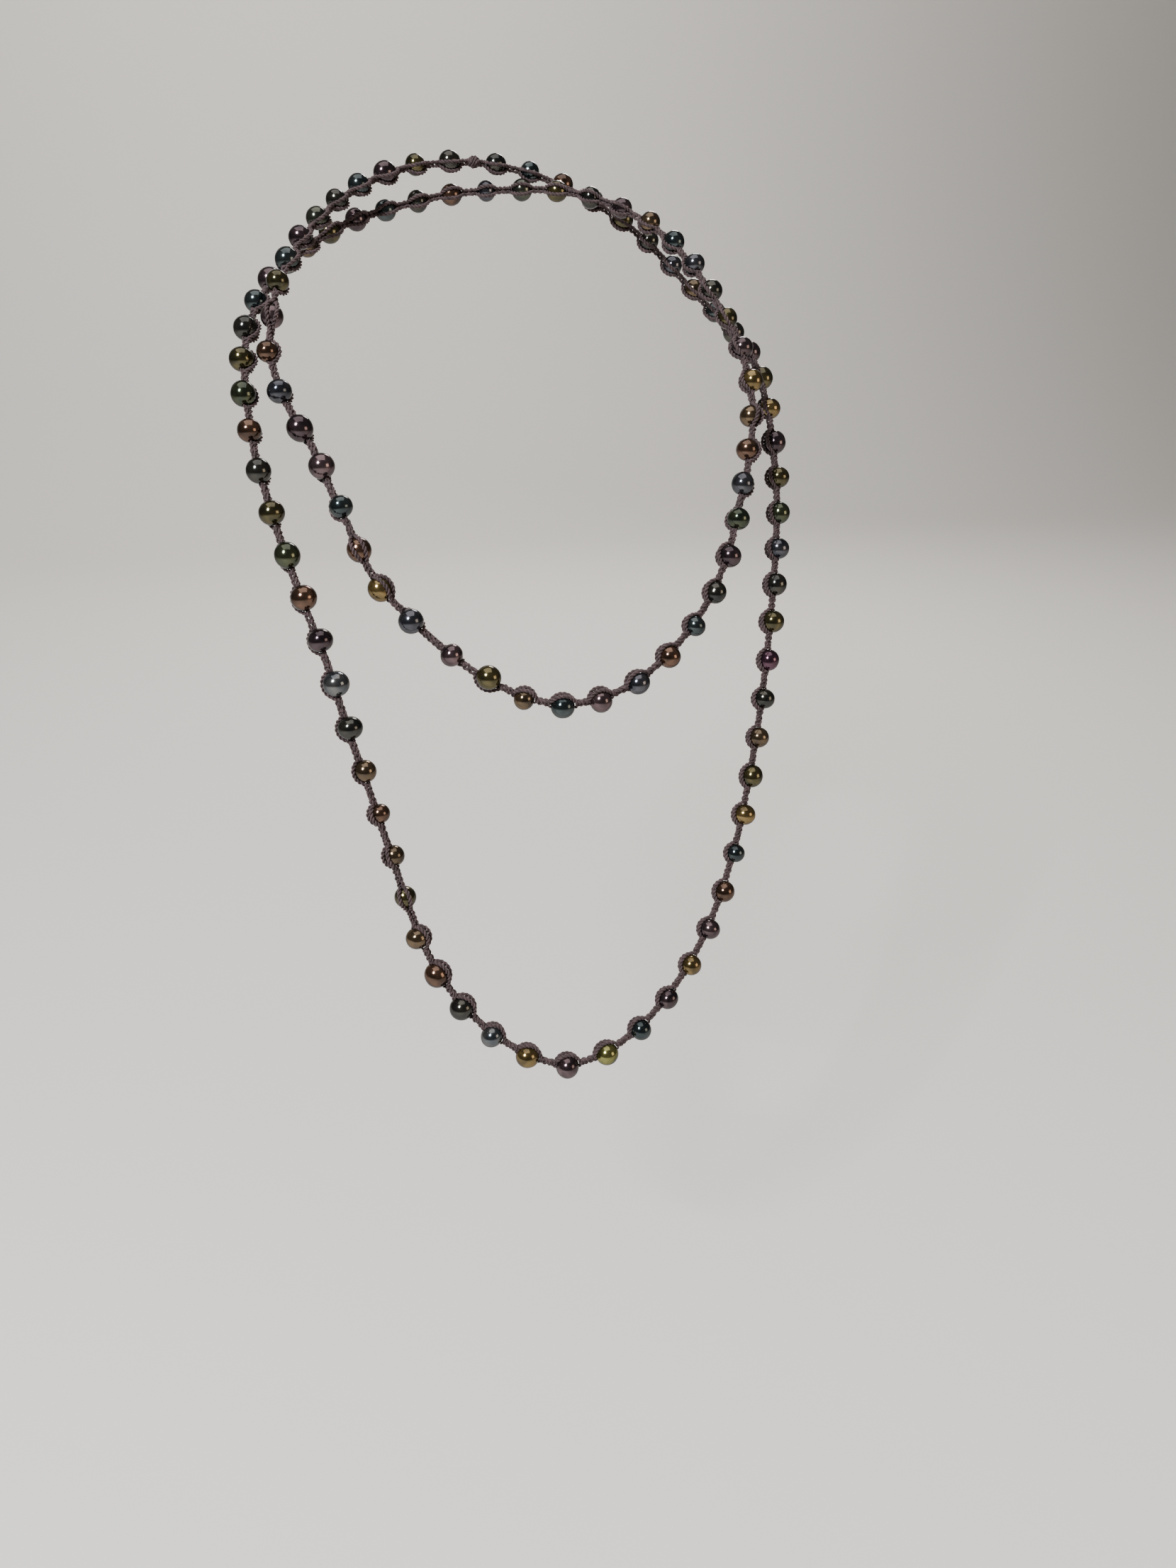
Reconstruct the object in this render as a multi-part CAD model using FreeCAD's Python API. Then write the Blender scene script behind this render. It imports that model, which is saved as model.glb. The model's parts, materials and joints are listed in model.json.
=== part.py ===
import FreeCAD, Part
import math
import os

# A long pearl necklace: one endless crocheted rope with a pearl on every few
# stitches, worn wound twice round a neck, so that it hangs in an inner and an
# outer loop. Millimetres. +X is the wearer's left, -Y the wearer's front and
# +Z up. The origin is at the nape of the neck, between the two turns of rope.

Vector = FreeCAD.Vector

# ---- driving dimensions ----
CHAIN_DIAMETER = 2.2       # crocheted chain of stitches
THREAD_DIAMETER = 0.75     # one strand of it
BORE_CLEARANCE = 0.08      # radial, between a pearl's bore and its thread
LEG_CLEARANCE = 0.12       # between a pearl and the strands that pass over it
CHAIN_CLEARANCE = 0.45     # between a pearl's end and the chain beyond it
PEARL_OFFSET = 0.9         # from the middle of the chain to the middle of a pearl
LEG_SPREAD = 23.0          # either side of straight across from the pearl
THREAD_DEPTH = 1.2         # how far a strand's end is worked into the chain
THREAD_SPACING = 0.42      # of those ends, from the middle of the chain
FOLD_GAP = 0.24            # between the rounded ends of two lengths of chain
FOLD_ANGLE = 45.0          # largest fold between two neighbouring pearls
KNOT_DIAMETER = 3.8
KNOT_LENGTH = 4.4
KNOT_ROOM = 2.0            # bare chain kept beside the middle of the knot
KNOT_GAP = 0.3             # from the middle of the knot to either end inside it
ARC_SHARE = 0.45           # share of the shorter run that a bend takes
SHORTEST_EDGE = 0.001
NECK_CENTRE_Y = -60.0      # middle of the neck
NECK_FOOT_Z = -40.0        # where the neck spreads into the chest
CHEST_FLATNESS = 1.6       # how fast the chest turns to face forward going down
LEAN_BACK = 0.25           # how far it faces upward
GROUP_SIZE = 7             # most pearls in one grouped node

CHAIN_RADIUS = CHAIN_DIAMETER / 2
THREAD_RADIUS = THREAD_DIAMETER / 2
BORE_RADIUS = THREAD_RADIUS + BORE_CLEARANCE
END_SETBACK = (CHAIN_RADIUS + FOLD_GAP / 2) / math.cos(math.radians(FOLD_ANGLE / 2))

# ---- the rope's route ----
# Lengths in the order of the stitches, each list ending where the next begins.
# The rope leaves the knot at the nape for the wearer's right, goes round the
# inner loop, across the nape below the knot, round the outer loop and home.
KNOT = (0, 0.5, 4)
INNER_FOLD_RIGHT = (-62, -84, -75)
INNER_FRONT_RIGHT = (-50.5, -100.5, -106)
INNER_FRONT_LEFT = (55, -100.5, -102)
INNER_FOLD_LEFT = (66.5, -84, -74.5)
OUTER_FOLD_RIGHT = (-77.5, -85, -75.5)
OUTER_MIDDLE_RIGHT = (-64, -109.5, -128.5)
OUTER_FRONT_RIGHT = (-50, -126, -187)
OUTER_FRONT_LEFT = (53.5, -119.5, -188.5)
OUTER_MIDDLE_LEFT = (72, -93, -124)
OUTER_FOLD_LEFT = (78, -70.5, -73.5)

ROUTES = {
    "nape_upper_right": [
        KNOT, (-17, -1.5, 3), (-33, -9.5, -2), (-46.5, -22, -10), (-58, -37.5, -20.5),
        (-66, -54.5, -32.5), (-69.5, -65, -42), (-71, -72, -54), (-67.5, -78, -65.5),
        INNER_FOLD_RIGHT,
    ],
    "inner_side_right": [
        INNER_FOLD_RIGHT, (-58.5, -89.5, -85), (-54, -96.5, -97), INNER_FRONT_RIGHT,
    ],
    "inner_front": [
        INNER_FRONT_RIGHT, (-45, -103.5, -114.5), (-32.5, -109, -127.5), (-17, -115.5, -138.5),
        (-1, -119.5, -143.5), (17, -119.3, -140.5), (35, -114.5, -129),
        (48.5, -107.3, -114), INNER_FRONT_LEFT,
    ],
    "inner_side_left": [
        INNER_FRONT_LEFT, (58.5, -95.8, -94.2), (63.6, -89.3, -83.5), INNER_FOLD_LEFT,
    ],
    "nape_lower": [
        INNER_FOLD_LEFT, (68.5, -79, -66.5), (68.7, -70.5, -54.5), (65.5, -60, -42),
        (61.5, -46, -29.5), (54, -30.5, -17), (42.5, -17, -8.5), (27, -6.5, -4),
        (9, -1, -4), (-9, -0.5, -5.5), (-27, -4, -10), (-44, -13, -15.5),
        (-58.5, -27, -24), (-68.5, -43, -33), (-75.5, -57, -43.5), (-78.5, -71, -57.5),
        OUTER_FOLD_RIGHT,
    ],
    "outer_upper_right": [
        OUTER_FOLD_RIGHT, (-74.5, -94, -91.5), (-69.5, -102.5, -110), OUTER_MIDDLE_RIGHT,
    ],
    "outer_middle_right": [
        OUTER_MIDDLE_RIGHT, (-60, -115, -147), (-55, -121, -167.5), OUTER_FRONT_RIGHT,
    ],
    "outer_front": [
        OUTER_FRONT_RIGHT, (-47.5, -129.5, -199.5), (-39.5, -135, -219.5),
        (-25.5, -140.2, -236.3), (-6.5, -144.5, -246.5), (13, -142, -240.8),
        (30.5, -136, -227), (44.5, -128, -208.5), OUTER_FRONT_LEFT,
    ],
    "outer_middle_left": [
        OUTER_FRONT_LEFT, (60.3, -111.5, -169.5), (66.9, -102.2, -146), OUTER_MIDDLE_LEFT,
    ],
    "outer_upper_left": [
        OUTER_MIDDLE_LEFT, (75, -87, -109), (77.8, -79, -91), OUTER_FOLD_LEFT,
    ],
    "nape_upper_left": [
        OUTER_FOLD_LEFT, (78.3, -64.5, -65), (78, -57, -56.5), (76.5, -47, -49.5),
        (73, -34.5, -42.5), (66, -23, -32.5), (56.5, -13.5, -20.5), (45, -6.5, -10.5),
        (30.5, 0, -2.5), (15.5, 2, 2.5), KNOT,
    ],
}

# ---- the pearls on each length ----
# Each pair is the side of the chain on which the pearl hangs, in degrees from
# facing straight out, towards the loop's outer edge, and its diameter.
PEARLS = {
    "nape_upper_right": [
        (-15, 6.9), (-10, 6.7), (-20, 7.1), (-10, 6.8), (0, 6.6), (10, 6.7), (10, 6.9),
        (10, 6.9), (-60, 6.5), (100, 6.4), (10, 6.0), (-20, 7.0), (-20, 7.3),
    ],
    "inner_side_right": [(-35, 7.3), (-50, 6.7), (165, 6.9)],
    "inner_front": [
        (120, 6.7), (15, 7.2), (0, 6.6), (-45, 6.9), (110, 6.1), (104, 6.7),
        (102, 6.9), (92, 6.5), (82, 6.7), (76, 6.3), (72, 6.4), (60, 6.9),
    ],
    "inner_side_left": [(0, 6.8), (-80, 6.8), (-130, 6.9)],
    "nape_lower": [
        (175, 6.7), (30, 6.6), (40, 6.8), (40, 6.3), (20, 6.8), (-20, 6.7), (-20, 6.6),
        (-15, 6.7), (10, 6.4), (20, 6.9), (20, 6.7), (15, 7.0), (10, 6.6), (20, 6.8),
        (15, 6.9), (25, 6.7), (20, 7.1), (30, 6.8), (20, 6.6), (10, 6.9), (10, 7.2),
        (0, 6.7), (0, 6.9), (0, 7.0), (-10, 6.9), (-20, 6.6),
    ],
    "outer_upper_right": [(-20, 6.8), (-30, 7.1), (-40, 7.0), (-50, 7.2), (-50, 7.0)],
    "outer_middle_right": [(-60, 7.3), (-60, 7.0), (-90, 6.1), (-120, 5.8), (-130, 5.8)],
    "outer_front": [
        (180, 6.2), (105, 6.7), (100, 7.1), (96, 7.2), (88, 6.8), (85, 6.7), (85, 7.1),
        (82, 6.7), (78, 6.6), (72, 6.1), (70, 6.4), (68, 6.6), (68, 6.3), (68, 5.9),
    ],
    "outer_middle_left": [(65, 6.8), (65, 6.7), (65, 6.5), (62, 6.6), (62, 6.4), (60, 7.2)],
    "outer_upper_left": [(60, 6.8), (60, 6.8), (58, 6.6), (58, 6.9), (56, 6.9)],
    "nape_upper_left": [
        (60, 6.9), (60, 7.1), (55, 7.1), (50, 7.0), (20, 6.7), (10, 6.9), (0, 6.6),
        (-10, 6.8), (-10, 7.0), (-15, 6.7), (-15, 6.9), (-10, 6.8), (-15, 6.6),
    ],
}

# Pearls that sit off their even place along the chain, and how much further on.
SLIPS = {
    "inner_front": {3: 2.5, 4: 2.5, 5: 2, 6: 1},
}

# Along their bores the pearls are a little longer or shorter than across them.
STRETCHES = (1.02, 0.94, 1.05, 0.97, 0.92, 1.03, 0.95)

# Each group of lengths that moves as one piece, from the nape downward.
SECTIONS = {
    "nape": ["nape_upper_right", "nape_lower", "nape_upper_left"],
    "inner_side": ["inner_side_right", "inner_side_left"],
    "inner_front": ["inner_front"],
    "outer_upper": ["outer_upper_right", "outer_upper_left"],
    "outer_middle": ["outer_middle_right", "outer_middle_left"],
    "outer_front": ["outer_front"],
}
TURNING_PEARLS = ("inner_front", "outer_front")


class Path:
    """Straight runs joined by tangent arcs, with places measured along it."""

    def __init__(self, points):
        corners = [Vector(*p) for p in points]
        self.radii = []
        self.edges = []
        here = corners[0]
        for before, corner, after in zip(corners, corners[1:], corners[2:]):
            into = (corner - before).normalize()
            out = (after - corner).normalize()
            half_turn = into.getAngle(out) / 2
            reach = ARC_SHARE * min(before.distanceToPoint(corner), corner.distanceToPoint(after))
            radius = reach / math.tan(half_turn)
            start = corner - into * reach
            end = corner + out * reach
            inward = (out - into).normalize()
            middle = corner + inward * (radius / math.cos(half_turn) - radius)
            self.edges.append(Part.LineSegment(here, start).toShape())
            self.edges.append(Part.Arc(start, middle, end).toShape())
            self.radii.append(radius)
            here = end
        self.edges.append(Part.LineSegment(here, corners[-1]).toShape())
        self.length = sum(edge.Length for edge in self.edges)

    def at(self, distance):
        """The point and the direction of travel at a distance along the path."""
        for edge in self.edges[:-1]:
            if distance <= edge.Length:
                break
            distance -= edge.Length
        else:
            edge = self.edges[-1]
        place = edge.getParameterByLength(min(max(distance, 0), edge.Length))
        return edge.valueAt(place), edge.tangentAt(place)

    def between(self, start, end):
        """The edges from one distance along the path to another."""
        kept = []
        passed = 0
        for edge in self.edges:
            low = max(start - passed, 0)
            high = min(end - passed, edge.Length)
            passed += edge.Length
            if high - low > SHORTEST_EDGE:
                first = edge.getParameterByLength(low)
                last = edge.getParameterByLength(high)
                kept.append(edge.Curve.toShape(first, last))
        return kept


def swept(edges, radius):
    """A round rod along tangent edges."""
    start = edges[0].valueAt(edges[0].FirstParameter)
    heading = edges[0].tangentAt(edges[0].FirstParameter)
    ring = Part.Wire([Part.makeCircle(radius, start, heading)])
    return Part.Wire(edges).makePipeShell([ring], True, False)


def chain_length(path, start, end, dome_start, dome_end):
    """The stitches from one pearl to the next, round where they meet a fold."""
    rod = swept(path.between(start, end), CHAIN_RADIUS)
    domes = []
    if dome_start:
        point, heading = path.at(start)
        domes.append(Part.makeSphere(CHAIN_RADIUS, point, heading * -1, 0, 90, 360))
    if dome_end:
        point, heading = path.at(end)
        domes.append(Part.makeSphere(CHAIN_RADIUS, point, heading, 0, 90, 360))
    return rod.fuse(domes).removeSplitter() if domes else rod


def chain_lengths(name, path, places, half_lengths):
    """All the stitches along one length of rope, between and beyond its pearls, and
    their volume over that of their cross-section times their length."""
    pieces = []
    run = 0
    starts_at_fold = ROUTES[name][0] != KNOT
    ends_at_fold = ROUTES[name][-1] != KNOT
    start = END_SETBACK if starts_at_fold else KNOT_GAP
    dome_start = starts_at_fold
    for place, half_length in zip(places, half_lengths):
        end = place - half_length - CHAIN_CLEARANCE
        pieces.append(chain_length(path, start, end, dome_start, False))
        run += end - start
        start = place + half_length + CHAIN_CLEARANCE
        dome_start = False
    end = path.length - (END_SETBACK if ends_at_fold else KNOT_GAP)
    pieces.append(chain_length(path, start, end, False, ends_at_fold))
    run += end - start
    dome = 2 / 3 * math.pi * CHAIN_RADIUS ** 3
    due = math.pi * CHAIN_RADIUS ** 2 * run + dome * (starts_at_fold + ends_at_fold)
    return pieces, sum(piece.Volume for piece in pieces) / due


def facing(point, heading):
    """Straight out from the wearer, square to the chain."""
    below_neck = max(NECK_FOOT_Z - point.z, 0)
    middle = Vector(0, NECK_CENTRE_Y + CHEST_FLATNESS * below_neck, point.z)
    outward = point - middle
    outward.z = LEAN_BACK * outward.Length
    outward = outward - heading * outward.dot(heading)
    return outward.normalize()


def hanging(path, distance, side):
    """Where the chain is, which way it runs, and which way a pearl hangs from it."""
    point, heading = path.at(distance)
    out = facing(point, heading)
    down = heading.cross(out)
    angle = math.radians(side)
    return point, heading, out * math.cos(angle) + down * math.sin(angle)


def pearl(centre, bore, hang, radius, half_length):
    """An off-round pearl, drilled through, turned from half an ellipse."""
    bore_end = half_length * math.sqrt(1 - (BORE_RADIUS / radius) ** 2)
    low = centre - bore * bore_end + hang * BORE_RADIUS
    high = centre + bore * bore_end + hang * BORE_RADIUS
    if half_length > radius:
        ellipse = Part.Ellipse(centre + bore * half_length, centre + hang * radius, centre)
    else:
        ellipse = Part.Ellipse(centre - hang * radius, centre + bore * half_length, centre)
    ends = sorted((ellipse.parameter(low), ellipse.parameter(high)))
    outline = Part.Wire([
        Part.ArcOfEllipse(ellipse, ends[0], ends[1]).toBSpline().toShape(),
        Part.LineSegment(low, high).toShape(),
    ])
    return Part.Face(outline).revolve(centre, bore, 360)


def bore_thread(centre, bore, half_length):
    """The strand through a pearl's bore, worked into the chain at both ends."""
    reach = half_length + CHAIN_CLEARANCE + THREAD_DEPTH
    start = centre - bore * reach
    return Part.makeCylinder(THREAD_RADIUS, 2 * reach, start, bore)


def leg(foot, centre, bore, over, radius, half_length):
    """One of the two strands that pass over a pearl from chain to chain."""
    rise = radius + LEG_CLEARANCE + THREAD_RADIUS
    reach = half_length + CHAIN_CLEARANCE + THREAD_DEPTH
    curve = Part.Arc(foot - bore * reach, centre + over * rise, foot + bore * reach)
    return swept([curve.toShape()], THREAD_RADIUS)


def strands(point, centre, bore, hang, radius, half_length):
    """A stitch's three strands round its pearl: one through it and two over it."""
    pieces = [bore_thread(centre, bore, half_length)]
    spread = math.radians(LEG_SPREAD)
    for across in (bore.cross(hang), hang.cross(bore)):
        foot = point + across * THREAD_SPACING
        over = across * math.sin(spread) - hang * math.cos(spread)
        pieces.append(leg(foot, centre, bore, over, radius, half_length))
    return pieces


def join_knot():
    """The knot that closes the rope, a small barrel along the chain."""
    centre = Vector(*KNOT)
    along = Vector(1, 0, 0)
    up = Vector(0, 0, 1)
    start = centre - along * (KNOT_LENGTH / 2)
    end = centre + along * (KNOT_LENGTH / 2)
    ellipse = Part.Ellipse(end, centre + up * (KNOT_DIAMETER / 2), centre)
    curve = Part.ArcOfEllipse(ellipse, 0, math.pi)
    outline = Part.Wire([curve.toShape(), Part.LineSegment(start, end).toShape()])
    return Part.Face(outline).revolve(centre, along, 360)


def pearl_distances(name, path):
    """How far along a length of chain each of its pearls sits."""
    start = KNOT_ROOM if ROUTES[name][0] == KNOT else 0
    end = path.length - (KNOT_ROOM if ROUTES[name][-1] == KNOT else 0)
    count = len(PEARLS[name])
    pitch = (end - start) / count
    slips = SLIPS.get(name, {})
    return [start + pitch * (i + 0.5) + slips.get(i + 1, 0) for i in range(count)]


def export(node, shapes):
    """Writes one node, which is one solid or a group of separate ones."""
    for shape in shapes:
        if not shape.isValid() or shape.Volume <= 0:
            raise ValueError(node + " is not a valid solid")
    whole = shapes[0] if len(shapes) == 1 else Part.makeCompound(shapes)
    whole.exportStep("parts/" + node + ".step")


def group_sizes(count):
    """Splits a length's pearls into near-equal groups."""
    groups = math.ceil(count / GROUP_SIZE)
    return [count * (i + 1) // groups - count * i // groups for i in range(groups)]


def export_pearls(name, pearls):
    """One node for each turning pearl, and a node for each group of the others."""
    if name in TURNING_PEARLS:
        for number, shape in enumerate(pearls, 1):
            export("pearl_%s_%02d" % (name, number), [shape])
        return
    sizes = group_sizes(len(pearls))
    start = 0
    for number, size in enumerate(sizes, 1):
        suffix = "_%d" % number if len(sizes) > 1 else ""
        export("pearls_" + name + suffix, pearls[start:start + size])
        start += size


def build_length(name, first_number):
    """Exports one length's chain and pearls, and returns its strands."""
    path = Path(ROUTES[name])
    places = pearl_distances(name, path)
    pearls = []
    half_lengths = []
    round_pearls = []
    for index, (side, diameter) in enumerate(PEARLS[name]):
        radius = diameter / 2
        half_length = radius * STRETCHES[(first_number + index) % len(STRETCHES)]
        point, heading, hang = hanging(path, places[index], side)
        centre = point + hang * PEARL_OFFSET
        pearls.append(pearl(centre, heading, hang, radius, half_length))
        round_pearls += strands(point, centre, heading, hang, radius, half_length)
        half_lengths.append(half_length)
    pieces, volume_ratio = chain_lengths(name, path, places, half_lengths)
    export("chain_" + name, pieces)
    export_pearls(name, pearls)
    print("%s: length %.1f, pitch %.2f, smallest radius %.1f, volume ratio %.4f" % (
        name, path.length, places[1] - places[0], min(path.radii), volume_ratio))
    return round_pearls, path.length


def main():
    os.makedirs("parts", exist_ok=True)
    rope_length = 0
    number = 0
    for section, names in SECTIONS.items():
        threads = []
        for name in names:
            round_pearls, length = build_length(name, number)
            threads += round_pearls
            rope_length += length
            number += len(PEARLS[name])
        export("threads_" + section, threads)
    export("join_knot", [join_knot()])
    print("rope %.0f mm long, %d pearls" % (rope_length, number))


main()
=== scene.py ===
import bpy
import json
import math
import numpy as np
from mathutils import Matrix, Vector

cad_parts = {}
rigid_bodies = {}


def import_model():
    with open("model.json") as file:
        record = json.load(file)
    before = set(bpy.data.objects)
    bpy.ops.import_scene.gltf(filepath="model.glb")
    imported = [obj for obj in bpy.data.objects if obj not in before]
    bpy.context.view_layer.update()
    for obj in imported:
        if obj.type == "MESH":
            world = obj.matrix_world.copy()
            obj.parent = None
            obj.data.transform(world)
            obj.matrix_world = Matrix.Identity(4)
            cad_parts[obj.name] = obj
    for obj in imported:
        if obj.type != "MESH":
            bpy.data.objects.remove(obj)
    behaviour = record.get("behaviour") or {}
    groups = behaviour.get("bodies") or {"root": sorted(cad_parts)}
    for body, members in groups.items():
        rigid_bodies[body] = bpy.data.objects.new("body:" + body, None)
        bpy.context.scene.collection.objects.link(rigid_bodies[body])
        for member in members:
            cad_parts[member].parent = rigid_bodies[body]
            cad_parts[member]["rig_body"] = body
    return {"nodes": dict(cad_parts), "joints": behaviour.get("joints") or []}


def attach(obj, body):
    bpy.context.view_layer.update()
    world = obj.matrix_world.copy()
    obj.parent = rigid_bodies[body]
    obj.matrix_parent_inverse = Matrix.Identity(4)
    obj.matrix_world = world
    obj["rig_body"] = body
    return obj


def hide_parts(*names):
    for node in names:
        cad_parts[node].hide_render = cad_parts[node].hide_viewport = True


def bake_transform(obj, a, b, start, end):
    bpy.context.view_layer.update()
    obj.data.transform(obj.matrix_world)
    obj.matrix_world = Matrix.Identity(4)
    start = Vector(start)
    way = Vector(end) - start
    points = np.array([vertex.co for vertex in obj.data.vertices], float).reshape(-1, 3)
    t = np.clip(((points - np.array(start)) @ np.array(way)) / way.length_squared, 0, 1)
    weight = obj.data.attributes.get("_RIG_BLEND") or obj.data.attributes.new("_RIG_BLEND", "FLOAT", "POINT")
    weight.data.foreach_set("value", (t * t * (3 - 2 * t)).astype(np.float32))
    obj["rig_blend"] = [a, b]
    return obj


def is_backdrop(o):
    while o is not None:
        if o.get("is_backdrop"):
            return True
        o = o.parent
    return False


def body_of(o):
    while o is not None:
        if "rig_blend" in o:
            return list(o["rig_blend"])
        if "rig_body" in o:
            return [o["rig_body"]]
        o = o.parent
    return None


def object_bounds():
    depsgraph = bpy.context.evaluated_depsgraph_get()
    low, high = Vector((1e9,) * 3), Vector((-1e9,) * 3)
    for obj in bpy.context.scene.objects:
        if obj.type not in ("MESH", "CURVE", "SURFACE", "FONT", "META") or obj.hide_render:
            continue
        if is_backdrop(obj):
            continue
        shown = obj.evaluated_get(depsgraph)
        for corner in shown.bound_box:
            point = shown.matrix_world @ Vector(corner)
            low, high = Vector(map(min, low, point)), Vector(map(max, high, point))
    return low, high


# The looks of a long pearl necklace, worn wound twice round a neck: dark off-round
# pearls held in the long stitches of a crocheted chain of two-ply thread. The packed
# parts say where every pearl is, which way its bore runs and on which side the
# thread passes over it. The chain is one yarn that runs through the whole rope,
# stitch by stitch, cut where the lengths of rope meet. Metres, in the parts' frame.

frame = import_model()
cad_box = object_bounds()

# ---- sizes ----
MM = 0.001
CHAIN_TO_PEARL = 0.9 * MM      # from the middle of the chain to the middle of a pearl
YARN = 1.04 * MM               # the thread as worked
BORE_YARN = 0.55               # its share of that inside a pearl
BORE_RADIUS = 0.45 * MM
FOOT_BACK = 0.10 * YARN        # how far a stitch's foot reaches back past its start
FOOT = (0.22, -0.22)           # sideways and to the front, in yarn thicknesses
HEAD_AHEAD = 0.30 * YARN       # and how far its head reaches past its end
HEAD = (0.46, -0.10)
LOOP_AHEAD = 0.52 * YARN       # and the turn of the loop beyond that
BACK_YARN = 1.15               # its share behind a stitch, where it lies slack
PLY_SHARE = 0.27               # a ply's radius and its distance off the yarn's middle
PLY_TWIST = 2.4 * MM           # yarn length in one turn of the plies
PLY_SIDES = 7
YARN_STEP = 0.26 * MM
STITCH = 1.75 * MM             # length of a plain stitch
PEARL_MARGIN = 0.55 * MM       # from a pearl's end to the ends of its long stitch
LEG_SPREAD = math.radians(23)  # either side of straight across from the pearl
LEG_RISE = 0.38 * MM           # of the middle of a strand above the pearl under it
LEG_TURNS = (40, 57, 73, 90, 107, 123, 140)  # where it touches the pearl, in degrees
LEG_YARN = 1.12                # its thickness there, where it spreads on the pearl
ROPE_STEP = 0.25 * MM
BEND_START = 0.3 * MM          # where a length of rope begins to bend below a fold
BEND_END = 2.6 * MM
SPLINE_RESOLUTION = 24
PEARL_RINGS = 30
PEARL_SIDES = 40
MOUTH_WIDTH = 1.35             # a drill hole's softened mouth over its bore
KNOT_WINDS = 9
KNOT_STEPS = 700

# ---- studio ----
FLOOR_Z = -0.40
FLOOR_SIZE = 5.0
FLOOR_FRONT = 10.0             # how far the floor runs forward and to each side
WALL_BEND = 1.0                # radius of the sweep from floor to wall
WALL_HEIGHT = 3.0
SWEEP_STEPS = 16
MIDDLE = (0.0, -0.09, -0.12)   # where the lights point
CAMERA_PLACE = (-0.0754, -0.4240, -0.0400)
CAMERA_AIM = (0.2400, 0.8956, -0.3746)
CAMERA_UP = (0.0970, 0.3618, 0.9272)
SENSOR = 36                    # millimetres, as is the lens
LENS = 27.03

# ---- the rope's route: control points of one spline per length, in metres ----
KNOT = (0, 0.0005, 0.004)
INNER_FOLD_RIGHT = (-0.062, -0.084, -0.075)
INNER_FRONT_RIGHT = (-0.0505, -0.1005, -0.106)
INNER_FRONT_LEFT = (0.055, -0.1005, -0.102)
INNER_FOLD_LEFT = (0.0665, -0.084, -0.0745)
OUTER_FOLD_RIGHT = (-0.0775, -0.085, -0.0755)
OUTER_MIDDLE_RIGHT = (-0.064, -0.1095, -0.1285)
OUTER_FRONT_RIGHT = (-0.05, -0.126, -0.187)
OUTER_FRONT_LEFT = (0.0535, -0.1195, -0.1885)
OUTER_MIDDLE_LEFT = (0.072, -0.093, -0.124)
OUTER_FOLD_LEFT = (0.078, -0.0705, -0.0735)

ROUTES = {
    "nape_upper_right": [
        KNOT, (-0.017, -0.0015, 0.003), (-0.033, -0.0095, -0.002), (-0.0465, -0.022, -0.01),
        (-0.058, -0.0375, -0.0205), (-0.066, -0.0545, -0.0325), (-0.0695, -0.065, -0.042),
        (-0.071, -0.072, -0.054), (-0.0675, -0.078, -0.0655), INNER_FOLD_RIGHT,
    ],
    "inner_side_right": [
        INNER_FOLD_RIGHT, (-0.0585, -0.0895, -0.085), (-0.054, -0.0965, -0.097),
        INNER_FRONT_RIGHT,
    ],
    "inner_front": [
        INNER_FRONT_RIGHT, (-0.045, -0.1035, -0.1145), (-0.0325, -0.109, -0.1275),
        (-0.017, -0.1155, -0.1385), (-0.001, -0.1195, -0.1435), (0.017, -0.1193, -0.1405),
        (0.035, -0.1145, -0.129), (0.0485, -0.1073, -0.114), INNER_FRONT_LEFT,
    ],
    "inner_side_left": [
        INNER_FRONT_LEFT, (0.0585, -0.0958, -0.0942), (0.0636, -0.0893, -0.0835),
        INNER_FOLD_LEFT,
    ],
    "nape_lower": [
        INNER_FOLD_LEFT, (0.0685, -0.079, -0.0665), (0.0687, -0.0705, -0.0545),
        (0.0655, -0.06, -0.042), (0.0615, -0.046, -0.0295), (0.054, -0.0305, -0.017),
        (0.0425, -0.017, -0.0085), (0.027, -0.0065, -0.004), (0.009, -0.001, -0.004),
        (-0.009, -0.0005, -0.0055), (-0.027, -0.004, -0.01), (-0.044, -0.013, -0.0155),
        (-0.0585, -0.027, -0.024), (-0.0685, -0.043, -0.033), (-0.0755, -0.057, -0.0435),
        (-0.0785, -0.071, -0.0575), OUTER_FOLD_RIGHT,
    ],
    "outer_upper_right": [
        OUTER_FOLD_RIGHT, (-0.0745, -0.094, -0.0915), (-0.0695, -0.1025, -0.11),
        OUTER_MIDDLE_RIGHT,
    ],
    "outer_middle_right": [
        OUTER_MIDDLE_RIGHT, (-0.06, -0.115, -0.147), (-0.055, -0.121, -0.1675),
        OUTER_FRONT_RIGHT,
    ],
    "outer_front": [
        OUTER_FRONT_RIGHT, (-0.0475, -0.1295, -0.1995), (-0.0395, -0.135, -0.2195),
        (-0.0255, -0.1402, -0.2363), (-0.0065, -0.1445, -0.2465), (0.013, -0.142, -0.2408),
        (0.0305, -0.136, -0.227), (0.0445, -0.128, -0.2085), OUTER_FRONT_LEFT,
    ],
    "outer_middle_left": [
        OUTER_FRONT_LEFT, (0.0603, -0.1115, -0.1695), (0.0669, -0.1022, -0.146),
        OUTER_MIDDLE_LEFT,
    ],
    "outer_upper_left": [
        OUTER_MIDDLE_LEFT, (0.075, -0.087, -0.109), (0.0778, -0.079, -0.091), OUTER_FOLD_LEFT,
    ],
    "nape_upper_left": [
        OUTER_FOLD_LEFT, (0.0783, -0.0645, -0.065), (0.078, -0.057, -0.0565),
        (0.0765, -0.047, -0.0495), (0.073, -0.0345, -0.0425), (0.066, -0.023, -0.0325),
        (0.0565, -0.0135, -0.0205), (0.045, -0.0065, -0.0105), (0.0305, 0, -0.0025),
        (0.0155, 0.002, 0.0025), KNOT,
    ],
}

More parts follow.
